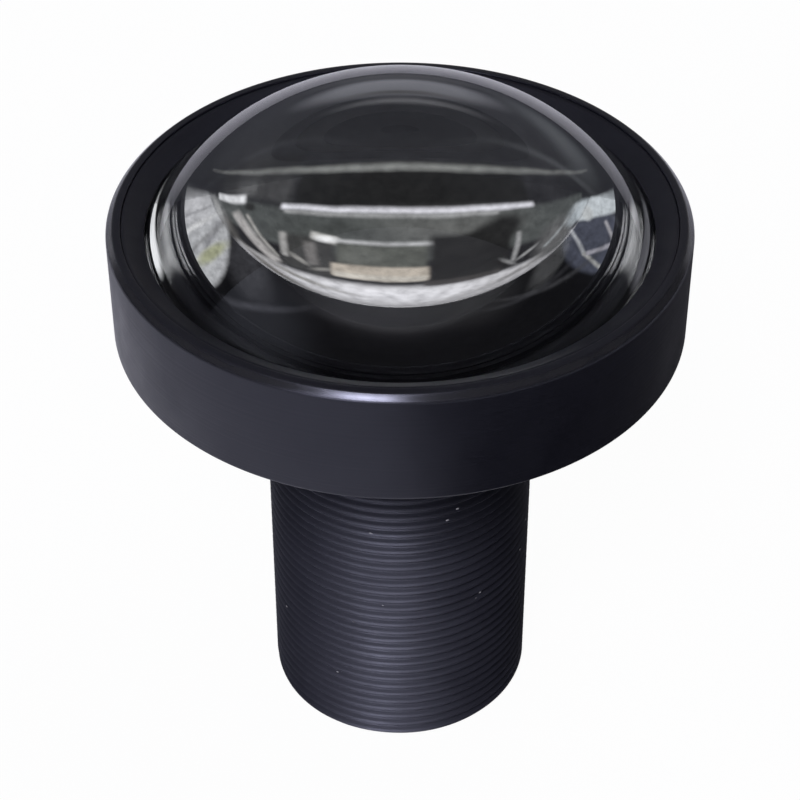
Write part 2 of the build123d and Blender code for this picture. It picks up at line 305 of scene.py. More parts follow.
# %% Settled dust
settled_dust, given, told = new_group("settled_dust", {"Amount": 0.2}, "Mask")
place = put(settled_dust, "ShaderNodeTexCoord").outputs["Object"]
normal = put(settled_dust, "ShaderNodeNewGeometry").outputs["Normal"]
facing_up = put(settled_dust, "ShaderNodeSeparateXYZ", {"Vector": normal}).outputs["Z"]
upward = remap(settled_dust, facing_up, (-0.2, 1.0))
grains = put(settled_dust, "ShaderNodeTexNoise", {"Vector": place}, Scale=9000.0, Detail=2.0)
specks = remap(settled_dust, grains.outputs["Fac"], (0.56, 0.75))
settled = calc(settled_dust, "MULTIPLY", specks, upward)
settled_dust.links.new(calc(settled_dust, "MULTIPLY", settled, given["Amount"], clamp=True), told)
print("shared groups", [group.name for group in bpy.data.node_groups])

# %% [markdown]
# ## Black finishes
# The aluminium is black anodized: a hard clear layer dyed black from within. Light either
# goes in and is lost or bounces off the layer's surface, so the finish is a dark shader that
# is not metallic, with a satin roughness. The head and the barrel have the same dye, but
# the bezel and the baffle are blasted first, which makes them duller.

# %% Black finish maker
DUST_COLOUR = (0.30, 0.30, 0.31, 1)
COOL_SHEEN = (0.84, 0.87, 1.0, 1)
CLOUD_SIZE = 2.5


def black_finish(name, colour, rough, rings, ring_depth, dust, cloud=0.06, specular=0.5):
    """A dyed or painted black surface. Rough is its mean roughness and cloud how far it strays.
    Rings per millimetre and their depth in millimetres are its tool marks."""
    made = bpy.data.materials.new(name)
    made.use_nodes = True
    tree = made.node_tree
    shader = tree.nodes["Principled BSDF"]
    clouds = put(tree, "ShaderNodeGroup", node_tree=cloudiness)
    for key, value in (("Size in mm", CLOUD_SIZE), ("Least", rough - cloud), ("Most", rough + cloud)):
        clouds.inputs[key].default_value = value
    dusty = put(tree, "ShaderNodeGroup", node_tree=settled_dust)
    dusty.inputs["Amount"].default_value = dust
    marks = put(tree, "ShaderNodeGroup", node_tree=turning_marks)
    marks.inputs["Rings per mm"].default_value = rings
    bump = put(tree, "ShaderNodeBump", {"Height": marks.outputs["Height"]},
               Strength=1.0, Distance=ring_depth * MM)
    for key, value in (
        ("Base Color", mix_colours(tree, dusty.outputs["Mask"], (*colour, 1), DUST_COLOUR)),
        ("Roughness", clouds.outputs["Value"]),
        ("Normal", bump.outputs["Normal"]),
        ("Specular IOR Level", specular),
        ("Specular Tint", COOL_SHEEN),
    ):
        feed(tree, shader.inputs[key], value)
    return made


anodized = black_finish("satin_black_anodized", (0.006, 0.006, 0.009), 0.40, 7.0, 0.006, 0.03, specular=0.6)
thread_black = black_finish("thread_black_anodized", (0.009, 0.009, 0.013), 0.52, 9.0, 0.004, 0.04,
                            specular=0.8)
bezel_black = black_finish("matte_black_bezel", (0.006, 0.006, 0.008), 0.55, 12.0, 0.004, 0.01, specular=0.6)
baffle_black = black_finish("matte_black_baffle", (0.015, 0.015, 0.016), 0.65, 5.0, 0.006, 0.0)
film_black = black_finish("black_film", (0.015, 0.015, 0.015), 0.5, 2.0, 0.0005, 0.0)
rubber_black = black_finish("black_rubber", (0.010, 0.010, 0.011), 0.5, 3.0, 0.001, 0.0)
ink_black = black_finish("edge_ink", (0.006, 0.006, 0.006), 0.6, 4.0, 0.002, 0.0)
plate_black = black_finish("blackened_brass", (0.014, 0.013, 0.012), 0.5, 2.0, 0.0005, 0.0)
resin = black_finish("cured_resin", (0.035, 0.030, 0.026), 0.22, 1.0, 0.0005, 0.0)
print("finishes so far", len(bpy.data.materials))

# %% [markdown]
# ## Glass
# Clear glass is a shader with full transmission, no roughness and the right index. The index
# sets where light is trapped inside the dome, and so the whole look of it. The colour of the
# light that passes strays by a hair from place to place. The thin coating that weakens what
# a real dome mirrors is not in the shader: the room below is drawn darker for it instead.

# %% Glass maker
TINT_PATCH, TINT_STRAY = 9.0, 0.985


def clear_glass(name, index, tint):
    """Polished glass. Tint colours the light that passes."""
    made = bpy.data.materials.new(name)
    made.use_nodes = True
    tree = made.node_tree
    shader = tree.nodes["Principled BSDF"]
    for key, value in (("Transmission Weight", 1.0), ("Metallic", 0.0), ("IOR", index), ("Roughness", 0.0)):
        shader.inputs[key].default_value = value
    tints = put(tree, "ShaderNodeGroup", node_tree=cloudiness)
    tints.inputs["Size in mm"].default_value = TINT_PATCH
    stray = tuple(part * TINT_STRAY for part in tint)
    passing = mix_colours(tree, tints.outputs["Value"], (*tint, 1), (*stray, 1))
    feed(tree, shader.inputs["Base Color"], passing)
    return made


dome_glass = clear_glass("dome_glass", 1.52, (0.99, 1.0, 0.99))
element_glass = clear_glass("element_glass", 1.55, (0.97, 0.99, 0.98))
filter_glass = clear_glass("infrared_cut_filter", 1.52, (0.72, 0.92, 0.90))
print("glass", [glass.name for glass in (dome_glass, element_glass, filter_glass)])

# %% [markdown]
# ## The head
# One turned cup. Outside there is only a plain wall between two chamfers. Inside, each step
# takes a piece: the retaining ring, the dome, its seal and the baffle. The CAD mesh has the
# right shape but knife edges, so the same section is spun again with rounded corners. Two
# groups make its black paler: wear on the rim, and painted light out of sight under the dome.

# %% Rubbed rim
# The sharp rim has lost some of its black to fingers and cloths, so it's paler and smoother
# there. The mask fades with the distance from a ring of the given radius and height. Moved
# down to the baffle, the same mask paints a highlight along its top edge.
RIM = {"Rim Radius": 12.25, "Rim Height": 25.93, "Width": 0.3}
rim_wear_and_painted_light, given, told = new_group("rim_wear_and_painted_light", RIM, "Mask")
math_node = partial(calc, rim_wear_and_painted_light)
place, x, y, z, from_axis = object_place(rim_wear_and_painted_light)
away = hypot(rim_wear_and_painted_light, math_node("SUBTRACT", from_axis, given["Rim Radius"]),
             math_node("SUBTRACT", z, given["Rim Height"]))
edge = math_node("SUBTRACT", 1.0, math_node("DIVIDE", away, given["Width"]), clamp=True)
worn = put(rim_wear_and_painted_light, "ShaderNodeTexNoise", {"Vector": place}, Scale=700.0, Detail=3.0)
WEAR_STRENGTH = 2.4
patchy = math_node("MULTIPLY", math_node("MULTIPLY", edge, WEAR_STRENGTH), worn.outputs["Fac"], clamp=True)
rim_wear_and_painted_light.links.new(patchy, told)
print("rubbed rim nodes", len(rim_wear_and_painted_light.nodes))


# %% Finishes with a rubbed rim and a painted highlight edge
def mix_paler(finish, group, colour, **values):
    """Mixes a paler colour into a finish where a mask group says so, and returns the mask."""
    tree = finish.node_tree
    target = tree.nodes["Principled BSDF"].inputs["Base Color"]
    mask = put(tree, "ShaderNodeGroup", node_tree=group)
    for key, value in values.items():
        mask.inputs[key.replace("_", " ")].default_value = value
    before = target.links[0].from_socket
    feed(tree, target, mix_colours(tree, mask.outputs["Mask"], before, (*colour, 1)))
    return mask.outputs["Mask"]


rim_metal = anodized.copy()
rim_metal.name = "black_anodized_rubbed_rim"
rubbed = mix_paler(rim_metal, rim_wear_and_painted_light, (0.018, 0.018, 0.019))
RUBBED_ROUGHNESS = 0.20
roughness = rim_metal.node_tree.nodes["Principled BSDF"].inputs["Roughness"]
smoother = put(rim_metal.node_tree, "ShaderNodeMix",
               {"Factor": rubbed, "A": roughness.links[0].from_socket, "B": RUBBED_ROUGHNESS})
feed(rim_metal.node_tree, roughness, smoother.outputs["Result"])
# The baffle's top edge is painted paler: a painted highlight that shows as a thin light line through the
# dome.
baffle_highlight_edge = baffle_black.copy()
baffle_highlight_edge.name = "matte_black_baffle_painted_highlight_edge"
mix_paler(baffle_highlight_edge, rim_wear_and_painted_light, (0.035, 0.035, 0.036), Rim_Radius=8.95, Rim_Height=24.4, Width=0.65)
# The rim is rubbed; the paler edge of the baffle is a painted highlight.
print("rubbed finishes", [rim_metal.name, baffle_highlight_edge.name])

# %% Painted light under the dome
# Under the edge of the dome, in two places towards the back, the black ink on the ground
# edge, the seat of the head and the rubber seal are painted pale. This is painted light,
# standing in for light that falls there. The glass carries the light of these two places
# round to its left and right.
# Start, end and fade are distances to either side, in millimetres.
painted_light_quarters, given, told = new_group("painted_light_quarters", {"Start": 4.8, "End": 8.2, "Fade": 0.6}, "Mask")
OUT_TO, BACK_FROM, UP_FROM = 11.2, 5.0, 23.8
math_node = partial(calc, painted_light_quarters)
place, x, y, z, from_axis = object_place(painted_light_quarters)
sideways = math_node("ABSOLUTE", x)
past_start = math_node("SUBTRACT", sideways, given["Start"])
before_end = math_node("SUBTRACT", given["End"], sideways)
mask = math_node("LESS_THAN", from_axis, OUT_TO)
for limit in (math_node("GREATER_THAN", y, BACK_FROM), math_node("GREATER_THAN", z, UP_FROM),
              math_node("DIVIDE", past_start, given["Fade"], clamp=True),
              math_node("DIVIDE", before_end, given["Fade"], clamp=True)):
    mask = math_node("MULTIPLY", mask, limit)
blotch = put(painted_light_quarters, "ShaderNodeTexNoise", {"Vector": place}, Scale=2200.0, Detail=3.0)
spotty = remap(painted_light_quarters, blotch.outputs["Fac"], (0.35, 0.6), (0.7, 1.0))
painted_light_quarters.links.new(math_node("MULTIPLY", mask, spotty), told)
# Painted light: pale colours on the head's inner step, the inked edge and the seal, where the mask says so.
mix_paler(rim_metal, painted_light_quarters, (0.75, 0.76, 0.79))
mix_paler(ink_black, painted_light_quarters, (0.80, 0.80, 0.81))
mix_paler(rubber_black, painted_light_quarters, (0.76, 0.76, 0.76))
# Apart from the rubbed rim, the pale places of these finishes are painted light, not wear.
print("worn finishes", [finish.name for finish in (rim_metal, baffle_highlight_edge, ink_black, rubber_black)])

# %% Head
HEAD_SECTION = [
    (5.67, 21.13, 0), (6.1, 20.7, 0), (12.15, 20.7), (12.4, 20.95), (12.4, 25.78, 0.10), (12.1, 26.08, 0.06),
    (11.77, 26.08, 0.04), (11.77, 24.9, 0), (11.05, 24.9, 0), (11.05, 24.7, 0), (10.7, 24.7, 0),
    (10.7, 23.9, 0), (9.6, 23.9, 0), (9.6, 22.7, 0), (5.67, 22.7, 0),
]
HEAD_ROUNDING, BEZEL_ROUNDING = 0.08, 0.03
head = lathe("head_cup", rounded(HEAD_SECTION, HEAD_ROUNDING))
head.data.materials.append(rim_metal)
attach(head, "root")
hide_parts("head")
print("head faces", len(head.data.polygons))

# %% [markdown]
# ## The bezel ring
# The ring screws down round the dome. What shows is its sloped lip, dull black so that it
# throws no light into the lens. Its thin inner edge lies close to the glass.

# %% Bezel ring
BEZEL_SECTION = [
    (11.05, 25.056, 0), (11.05, 24.95, 0), (11.75, 24.95, 0), (11.75, 26.0, 0.03), (11.6, 26.0, 0.05),
    (10.8, 25.55, 0.03), (10.8, 25.412, 0.01), (10.93, 25.24, 0),
]
bezel = lathe("bezel_ring", rounded(BEZEL_SECTION, BEZEL_ROUNDING))
bezel.data.materials.append(bezel_black)
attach(bezel, "root")
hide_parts("front_retaining_ring")
print("bezel faces", len(bezel.data.polygons))

# %% [markdown]
# ## The dome
# The front lens is a cap of a glass ball with a flat back. Seen from above at a slant, the
# flat back is a mirror: it throws back what lies behind the lens, and that is the bright
# crescent and the small shapes over it. Only a truly smooth mesh gives clean reflections, so
# the dome has a hundred rings. Its ground edge is painted black, as lens makers do.

# %% Dome and its inked edge
DOME_RADIUS, DOME_APEX = 13.15, 31.04
DOME_EDGE_R, DOME_BACK_Z = 11.0, 24.7
DOME_RINGS, BACK_RINGS = 100, 12
EDGE_BEVEL = 0.05
dome_section = ball_arc(DOME_APEX, DOME_RADIUS, DOME_EDGE_R - 0.03, DOME_RINGS)
dome_section += [
    (DOME_EDGE_R, dome_section[-1][1] - EDGE_BEVEL),
    (DOME_EDGE_R, DOME_BACK_Z + EDGE_BEVEL),
    (DOME_EDGE_R - EDGE_BEVEL, DOME_BACK_Z),
]
dome_section += [(DOME_EDGE_R * (1 - i / BACK_RINGS), DOME_BACK_Z) for i in range(1, BACK_RINGS + 1)]
dome = lathe("dome", dome_section, sharp=30)
dome.data.materials.append(dome_glass)
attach(dome, "root")
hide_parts("front_lens")
INK_SECTION = [(10.955, 24.74), (10.98, 24.74), (10.98, 25.02), (10.955, 25.02)]
ink = lathe("dome_edge_ink", INK_SECTION, segments=192)
ink.data.materials.append(ink_black)
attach(ink, "root")
print("dome faces", len(dome.data.polygons))

# %% [markdown]
# ## The threaded barrel
# A screw thread follows a rule: one ridge that climbs half a millimetre a turn. A Screw
# modifier could sweep it, but then the ends would be cut off bluntly. Here Geometry Nodes
# bend a flat grid round the axis. Its rows run along the helix, so each ridge stays crisp
# with few faces, and a second rule shrinks the ridges at both ends, as the cutting tool's
# lead-in does. The plain core with the bore and the neck is spun, and the tree welds the two.

# %% Core of the barrel
THREAD_R, THREAD_PITCH, THREAD_DEPTH = 6.0, 0.5, 0.3067
THREAD_TOP, NECK_R, LEAD_IN = 19.9, 5.65, 0.4
THREAD_COLUMNS, ROWS_PER_TURN = 120, 10
THREAD_START_Z = -0.6725
core_section = [
    (NECK_R, THREAD_TOP), (NECK_R, 22.66), (NECK_R - 0.04, 22.7), (3.9, 22.7), (3.9, 20.5), (5.0, 20.5),
    (5.0, 0.03), (5.03, 0.0), (THREAD_R - LEAD_IN, 0.0),
]
barrel = lathe("threaded_barrel", core_section, segments=THREAD_COLUMNS, closed=False)
barrel.data.materials.append(thread_black)
print("core faces", len(barrel.data.polygons))

# %% Thread tree, what goes in
def geometry_tree(name, inputs):
    """A Geometry Nodes tree with a mesh in and out, and more inputs, given as name and kind."""
    tree = bpy.data.node_groups.new(name, "GeometryNodeTree")
    for socket, kind in {"Geometry": "Geometry", **inputs}.items():
        tree.interface.new_socket(socket, in_out="INPUT", socket_type=f"NodeSocket{kind}")
    tree.interface.new_socket("Geometry", in_out="OUTPUT", socket_type="NodeSocketGeometry")
    return tree, tree.nodes.new("NodeGroupInput").outputs, tree.nodes.new("NodeGroupOutput").inputs


THREAD_INPUTS = {
    "Radius": THREAD_R * MM, "Pitch": THREAD_PITCH * MM, "Depth": THREAD_DEPTH * MM,
    "Start": THREAD_START_Z * MM, "Top": THREAD_TOP * MM,
    "End Radius": (THREAD_R - LEAD_IN) * MM, "Neck Radius": NECK_R * MM,
}
thread_tree, t_in, t_out = geometry_tree("screw_thread", {
    **dict.fromkeys(THREAD_INPUTS, "Float"),
    **dict.fromkeys(("Columns", "Rows per Turn", "Turns"), "Int"), "Material": "Material",
})
print("thread inputs", [socket.name for socket in t_in if socket.name])

# %% Thread tree, the ridge
tcalc = partial(calc, thread_tree)
rows = tcalc("ADD", tcalc("MULTIPLY", t_in["Rows per Turn"], t_in["Turns"]), 1)
columns = tcalc("ADD", t_in["Columns"], 1)
grid = put(thread_tree, "GeometryNodeMeshGrid", {"Vertices X": columns, "Vertices Y": rows},
           Size_X=1.0, Size_Y=1.0)
flat_place = put(thread_tree, "GeometryNodeInputPosition").outputs[0]
flat = put(thread_tree, "ShaderNodeSeparateXYZ", {"Vector": flat_place})
round_part = tcalc("ADD", flat.outputs["X"], 0.5)
turn = tcalc("MULTIPLY", tcalc("ADD", flat.outputs["Y"], 0.5), t_in["Turns"])
# A tiny nudge keeps rounding from deciding on which side of a turn a row falls.
NUDGE, CREST_HALF, ROOT_EDGE = 0.0001, 1 / 16, 1 / 2 - 1 / 12
from_crest = tcalc("ABSOLUTE", tcalc("SUBTRACT", tcalc("FRACT", tcalc("ADD", turn, NUDGE)), 0.5))
ridge = tcalc("DIVIDE", tcalc("SUBTRACT", ROOT_EDGE, from_crest), ROOT_EDGE - CREST_HALF, clamp=True)
climb = tcalc("ADD", tcalc("MULTIPLY", tcalc("ADD", turn, round_part), t_in["Pitch"]), t_in["Start"])
height = tcalc("MINIMUM", tcalc("MAXIMUM", climb, 0.0), t_in["Top"])
cut = tcalc("ADD", tcalc("SUBTRACT", t_in["Radius"], t_in["Depth"]), tcalc("MULTIPLY", ridge, t_in["Depth"]))
cut = tcalc("MINIMUM", cut, tcalc("ADD", t_in["End Radius"], height))
cut = tcalc("MINIMUM", cut, tcalc("ADD", t_in["Neck Radius"], tcalc("SUBTRACT", t_in["Top"], height)))
print("nodes so far", len(thread_tree.nodes))

# %% Thread tree, wrapped and welded
turned = tcalc("MULTIPLY", round_part, math.tau)
wrapped_x, wrapped_y = (tcalc("MULTIPLY", cut, tcalc(side, turned)) for side in ("COSINE", "SINE"))
wrapped = put(thread_tree, "ShaderNodeCombineXYZ", {"X": wrapped_x, "Y": wrapped_y, "Z": height})
skin = put(thread_tree, "GeometryNodeSetPosition",
           {"Geometry": grid.outputs["Mesh"], "Position": wrapped.outputs[0]})
both = thread_tree.nodes.new("GeometryNodeJoinGeometry")
thread_tree.links.new(skin.outputs["Geometry"], both.inputs[0])
thread_tree.links.new(t_in["Geometry"], both.inputs[0])
WELD = 0.002 * MM
welded = put(thread_tree, "GeometryNodeMergeByDistance", {"Geometry": both.outputs[0]}, Distance=WELD)
real = put(thread_tree, "GeometryNodeRealizeInstances", {"Geometry": welded.outputs[0]})
coated = put(thread_tree, "GeometryNodeSetMaterial",
             {"Geometry": real.outputs[0], "Material": t_in["Material"]})
thread_tree.links.new(coated.outputs[0], t_out["Geometry"])
print("thread tree nodes", len(thread_tree.nodes))


# %% Run a tree on a piece
def run_tree(piece, tree, values):
    """Runs a Geometry Nodes tree on a piece with the given inputs, and keeps the result as a plain mesh."""
    modifier = piece.modifiers.new(tree.name, "NODES")
    modifier.node_group = tree
    for item in tree.interface.items_tree:
        if item.item_type == "SOCKET" and item.in_out == "INPUT" and item.name in values:
            modifier[item.identifier] = values[item.name]
    graph = bpy.context.evaluated_depsgraph_get()
    graph.update()
    made = bpy.data.meshes.new_from_object(piece.evaluated_get(graph), depsgraph=graph)
    piece.modifiers.remove(modifier)
    piece.data = made
    return made


THREAD_TURNS = math.ceil((THREAD_TOP - THREAD_START_Z) / THREAD_PITCH) + 1
thread_values = {**THREAD_INPUTS, "Columns": THREAD_COLUMNS, "Rows per Turn": ROWS_PER_TURN,
                 "Turns": THREAD_TURNS, "Material": thread_black}
mesh = run_tree(barrel, thread_tree, thread_values)
shade(mesh, 50)
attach(barrel, "root")
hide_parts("barrel")
print("thread faces", len(mesh.polygons), "turns", THREAD_TURNS)

# %% [markdown]
# ## Pieces that keep their CAD mesh
# The seal, the baffle, the inner elements, the spacers and the filter are seen only through
# glass or at the rear end, so their CAD meshes are good enough. Each gets its own finish in
# its material slots.

# %% Finishes for the CAD pieces
CAD_FINISH = {
    "front_seal_ring": rubber_black, "front_baffle": baffle_highlight_edge, "front_light_shield": film_black,
    "rear_light_shield": film_black, "aperture_stop": plate_black, "ir_cut_filter": filter_glass,
    "filter_adhesive": resin, "filter_seat": baffle_black, "rear_retaining_ring": baffle_black,
}
for name in ("second", "third", "fourth", "fifth", "sixth", "seventh", "eighth"):
    CAD_FINISH[f"{name}_lens"] = element_glass
for name in ("front", "stop", "doublet", "middle", "rear"):
    CAD_FINISH[f"{name}_spacer"] = baffle_black
for name, finish in CAD_FINISH.items():
    slots = frame["nodes"][name].material_slots
    for slot in slots:
        slot.material = finish
print("CAD pieces finished", len(CAD_FINISH))

# %% [markdown]
# ## Dust on the barrel
# A few pale flecks sit on the black thread. Fine dust is in the finish already, but these are
# large enough to have a shape. Geometry Nodes scatter a few tiny flattened grains over the
# barrel with a fixed seed, turn each to the surface and vary its size.

# %% Dust colour
DUST_DARK, DUST_PALE = (0.22, 0.22, 0.22, 1), (0.42, 0.42, 0.40, 1)
fleck_tone = bpy.data.materials.new("pale_dust")
fleck_tone.use_nodes = True
tree = fleck_tone.node_tree
fleck_shader = tree.nodes["Principled BSDF"]
fleck_cloud = put(tree, "ShaderNodeGroup", node_tree=cloudiness)
fleck_cloud.inputs["Size in mm"].default_value = 0.3
feed(tree, fleck_shader.inputs["Base Color"],
     mix_colours(tree, fleck_cloud.outputs["Value"], DUST_DARK, DUST_PALE))
fleck_shader.inputs["Roughness"].default_value = 0.9
print("dust colour nodes", len(tree.nodes))

# %% Dust tree
dust_tree, d_in, d_out = geometry_tree("dust_flecks", {
    **dict.fromkeys(("Density", "Largest", "Smallest"), "Float"), "Seed": "Int", "Material": "Material",
})
spots = put(dust_tree, "GeometryNodeDistributePointsOnFaces",
            {"Mesh": d_in["Geometry"], "Density": d_in["Density"], "Seed": d_in["Seed"]})
grain = put(dust_tree, "GeometryNodeMeshIcoSphere", Radius=1.0, Subdivisions=2)
lumpy = put(dust_tree, "ShaderNodeTexNoise", Scale=1.3)
rough_grain = put(dust_tree, "GeometryNodeSetPosition", {"Geometry": grain.outputs["Mesh"]})
outward = put(dust_tree, "GeometryNodeInputNormal").outputs[0]
LUMPINESS, FLAT_WIDTH, FLAT_HEIGHT = 0.8, 0.6, 0.25
bulge = calc(dust_tree, "MULTIPLY", lumpy.outputs["Fac"], LUMPINESS)
push = put(dust_tree, "ShaderNodeVectorMath", {0: outward, "Scale": bulge}, operation="SCALE")
feed(dust_tree, rough_grain.inputs["Offset"], push.outputs[0])
size = put(dust_tree, "FunctionNodeRandomValue", {"Seed": d_in["Seed"]}, data_type="FLOAT")
dust_tree.links.new(d_in["Smallest"], size.inputs[2])
dust_tree.links.new(d_in["Largest"], size.inputs[3])
width, thickness = (calc(dust_tree, "MULTIPLY", size.outputs[1], part) for part in (FLAT_WIDTH, FLAT_HEIGHT))
flat_size = put(dust_tree, "ShaderNodeCombineXYZ", {"X": size.outputs[1], "Y": width, "Z": thickness})
scattered = put(dust_tree, "GeometryNodeInstanceOnPoints", {
    "Points": spots.outputs["Points"], "Instance": rough_grain.outputs[0],
    "Rotation": spots.outputs["Rotation"], "Scale": flat_size.outputs[0],
})
real = put(dust_tree, "GeometryNodeRealizeInstances", {"Geometry": scattered.outputs[0]})
dusted = put(dust_tree, "GeometryNodeSetMaterial",
             {"Geometry": real.outputs[0], "Material": d_in["Material"]})
dust_tree.links.new(dusted.outputs[0], d_out["Geometry"])
print("dust tree nodes", len(dust_tree.nodes))

# %% Dust flecks
DUST_WALL = [(5.93, 1.0), (5.93, 19.5)]
DUST_VALUES = {"Density": 60000.0, "Largest": 0.07 * MM, "Smallest": 0.02 * MM, "Seed": 11}
dust = lathe("dust_flecks", DUST_WALL, segments=96, closed=False)
run_tree(dust, dust_tree, {**DUST_VALUES, "Material": fleck_tone})
shade(dust.data, 60)
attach(dust, "root")
print("dust faces", len(dust.data.polygons))

# %% [markdown]
# ## The table
# The lens stands on white paper. The camera looks down, so all the background is paper. Black
# gloss shows what is around it: the walls of the head and barrel, seen from above, mirror the
# paper in front of them. A black card lies on the paper at the front right, as product
# photographers use, and it makes the right side of the lens fall off into black. It's left
# out of the camera's view and casts no shadow, so that only the reflections know of it.

# %% Paper
def flat_sheet(name, corners_mm, height_mm, finish):
    """A flat sheet that belongs to the stage, not to the lens."""
    mesh = bpy.data.meshes.new(name)
    corners = [(x * MM, y * MM, height_mm * MM) for x, y in corners_mm]
    mesh.from_pydata(corners, [], [tuple(range(len(corners)))])
    sheet = bpy.data.objects.new(name, mesh)
    sheet.data.materials.append(finish)
    scene.collection.objects.link(sheet)
    return sheet


paper = bpy.data.materials.new("white_paper")
paper.use_nodes = True
tree = paper.node_tree
shader = tree.nodes["Principled BSDF"]
for key, value in (("Base Color", (0.82, 0.82, 0.83, 1)), ("Roughness", 0.9), ("Specular IOR Level", 0.2)):
    shader.inputs[key].default_value = value
path = put(tree, "ShaderNodeLightPath")
PAPER_WHITENING = 0.97
glow = put(tree, "ShaderNodeEmission", Strength=1.0)
whitened = calc(tree, "MULTIPLY", path.outputs["Is Camera Ray"], PAPER_WHITENING)
mixed = put(tree, "ShaderNodeMixShader", {"Fac": whitened})
tree.links.new(shader.outputs[0], mixed.inputs[1])
tree.links.new(glow.outputs[0], mixed.inputs[2])
tree.links.new(mixed.outputs[0], tree.nodes["Material Output"].inputs["Surface"])
PAPER_REACH, PAPER_BACK = 1500, 420
flat_sheet("paper", [(-PAPER_REACH, -PAPER_REACH), (PAPER_REACH, -PAPER_REACH), (PAPER_REACH, PAPER_BACK),
                     (-PAPER_REACH, PAPER_BACK)], 0.0, paper)
print("paper mm", 2 * PAPER_REACH, "by", PAPER_REACH + PAPER_BACK)

# %% Black card
card_black = black_finish("card_black", (0.010, 0.010, 0.011), 0.9, 1.0, 0.0005, 0.0, 0.0, 0.1)
# The card is greyer towards its far end.
card_tree = card_black.node_tree
CARD_NEAR_TO_FAR, CARD_DARK_TO_GREY = (-10 * MM, 14 * MM), (0.010, 0.12)
card_place = put(card_tree, "ShaderNodeTexCoord").outputs["Object"]
card_y = put(card_tree, "ShaderNodeSeparateXYZ", {"Vector": card_place}).outputs["Y"]
card_grey = remap(card_tree, card_y, CARD_NEAR_TO_FAR, CARD_DARK_TO_GREY)
feed(card_tree, card_tree.nodes["Principled BSDF"].inputs["Base Color"], card_grey)
CARD_CORNERS = [(-4, -90), (100, -90), (100, 70), (22, 40), (10, 0), (7, -17), (3, -41)]
CARD_HEIGHT = 0.1
card = flat_sheet("black_card", CARD_CORNERS, CARD_HEIGHT, card_black)
card.visible_camera = False
card.visible_shadow = False
card.visible_diffuse = False
print("card corners", len(CARD_CORNERS))

# %% [markdown]
# ## The room
# Inside the dome the flat back of the lens mirrors the room behind it: a wall with a lit
# shelf, a few boxes and the white paper running up to them. Light that bounces three times
# in the glass comes from the sides, and gives the pale shell on the left and the crossed
# lines on the right. The world shader draws this room as soft-edged panels, each with a
# direction, a size and a tilt. One node group draws any of them. Heights on the wall behind
# are measured along the wall, so that shelves stay straight. Azimuth 0 is straight behind
# the lens and grows to the right, and the glass turns left and right round.

# %% Panel group
panel, given, told = new_group("room_panel", {
    "Across": 0, "Up": 0, "Centre Across": 0, "Centre Up": 0, "Half Width": 10, "Half Height": 10,
    "Softness": 1.5, "Tilt": 0, "Round": 0,
}, "Mask")
pcalc = partial(calc, panel)
INSIDE_TO_OUTSIDE = (-0.5, 0.5)


def soft_edge(past_edge):
    """1 inside and 0 outside, with a soft step between. The value is the way past the edge."""
    share = pcalc("DIVIDE", past_edge, given["Softness"])
    return remap(panel, share, INSIDE_TO_OUTSIDE, (1.0, 0.0), "SMOOTHSTEP")


from_x = pcalc("SUBTRACT", given["Across"], given["Centre Across"])
from_y = pcalc("SUBTRACT", given["Up"], given["Centre Up"])
tilt = pcalc("RADIANS", given["Tilt"])
cosine, sine = pcalc("COSINE", tilt), pcalc("SINE", tilt)
along = pcalc("ADD", pcalc("MULTIPLY", from_x, cosine), pcalc("MULTIPLY", from_y, sine))
beside = pcalc("SUBTRACT", pcalc("MULTIPLY", from_y, cosine), pcalc("MULTIPLY", from_x, sine))
along, beside = pcalc("ABSOLUTE", along), pcalc("ABSOLUTE", beside)
sides = [soft_edge(pcalc("SUBTRACT", away, given[half]))
         for away, half in ((along, "Half Width"), (beside, "Half Height"))]
# The oval reaches its edge where this is 1. The narrower half turns that share into degrees.
from_middle = hypot(panel, pcalc("DIVIDE", along, given["Half Width"]),
                    pcalc("DIVIDE", beside, given["Half Height"]))
narrow = pcalc("MINIMUM", given["Half Width"], given["Half Height"])
oval = soft_edge(pcalc("MULTIPLY", pcalc("SUBTRACT", from_middle, 1.0), narrow))
either = put(panel, "ShaderNodeMix", {"Factor": given["Round"], "A": pcalc("MULTIPLY", *sides), "B": oval})
panel.links.new(either.outputs["Result"], told)
print("panel nodes", len(panel.nodes))

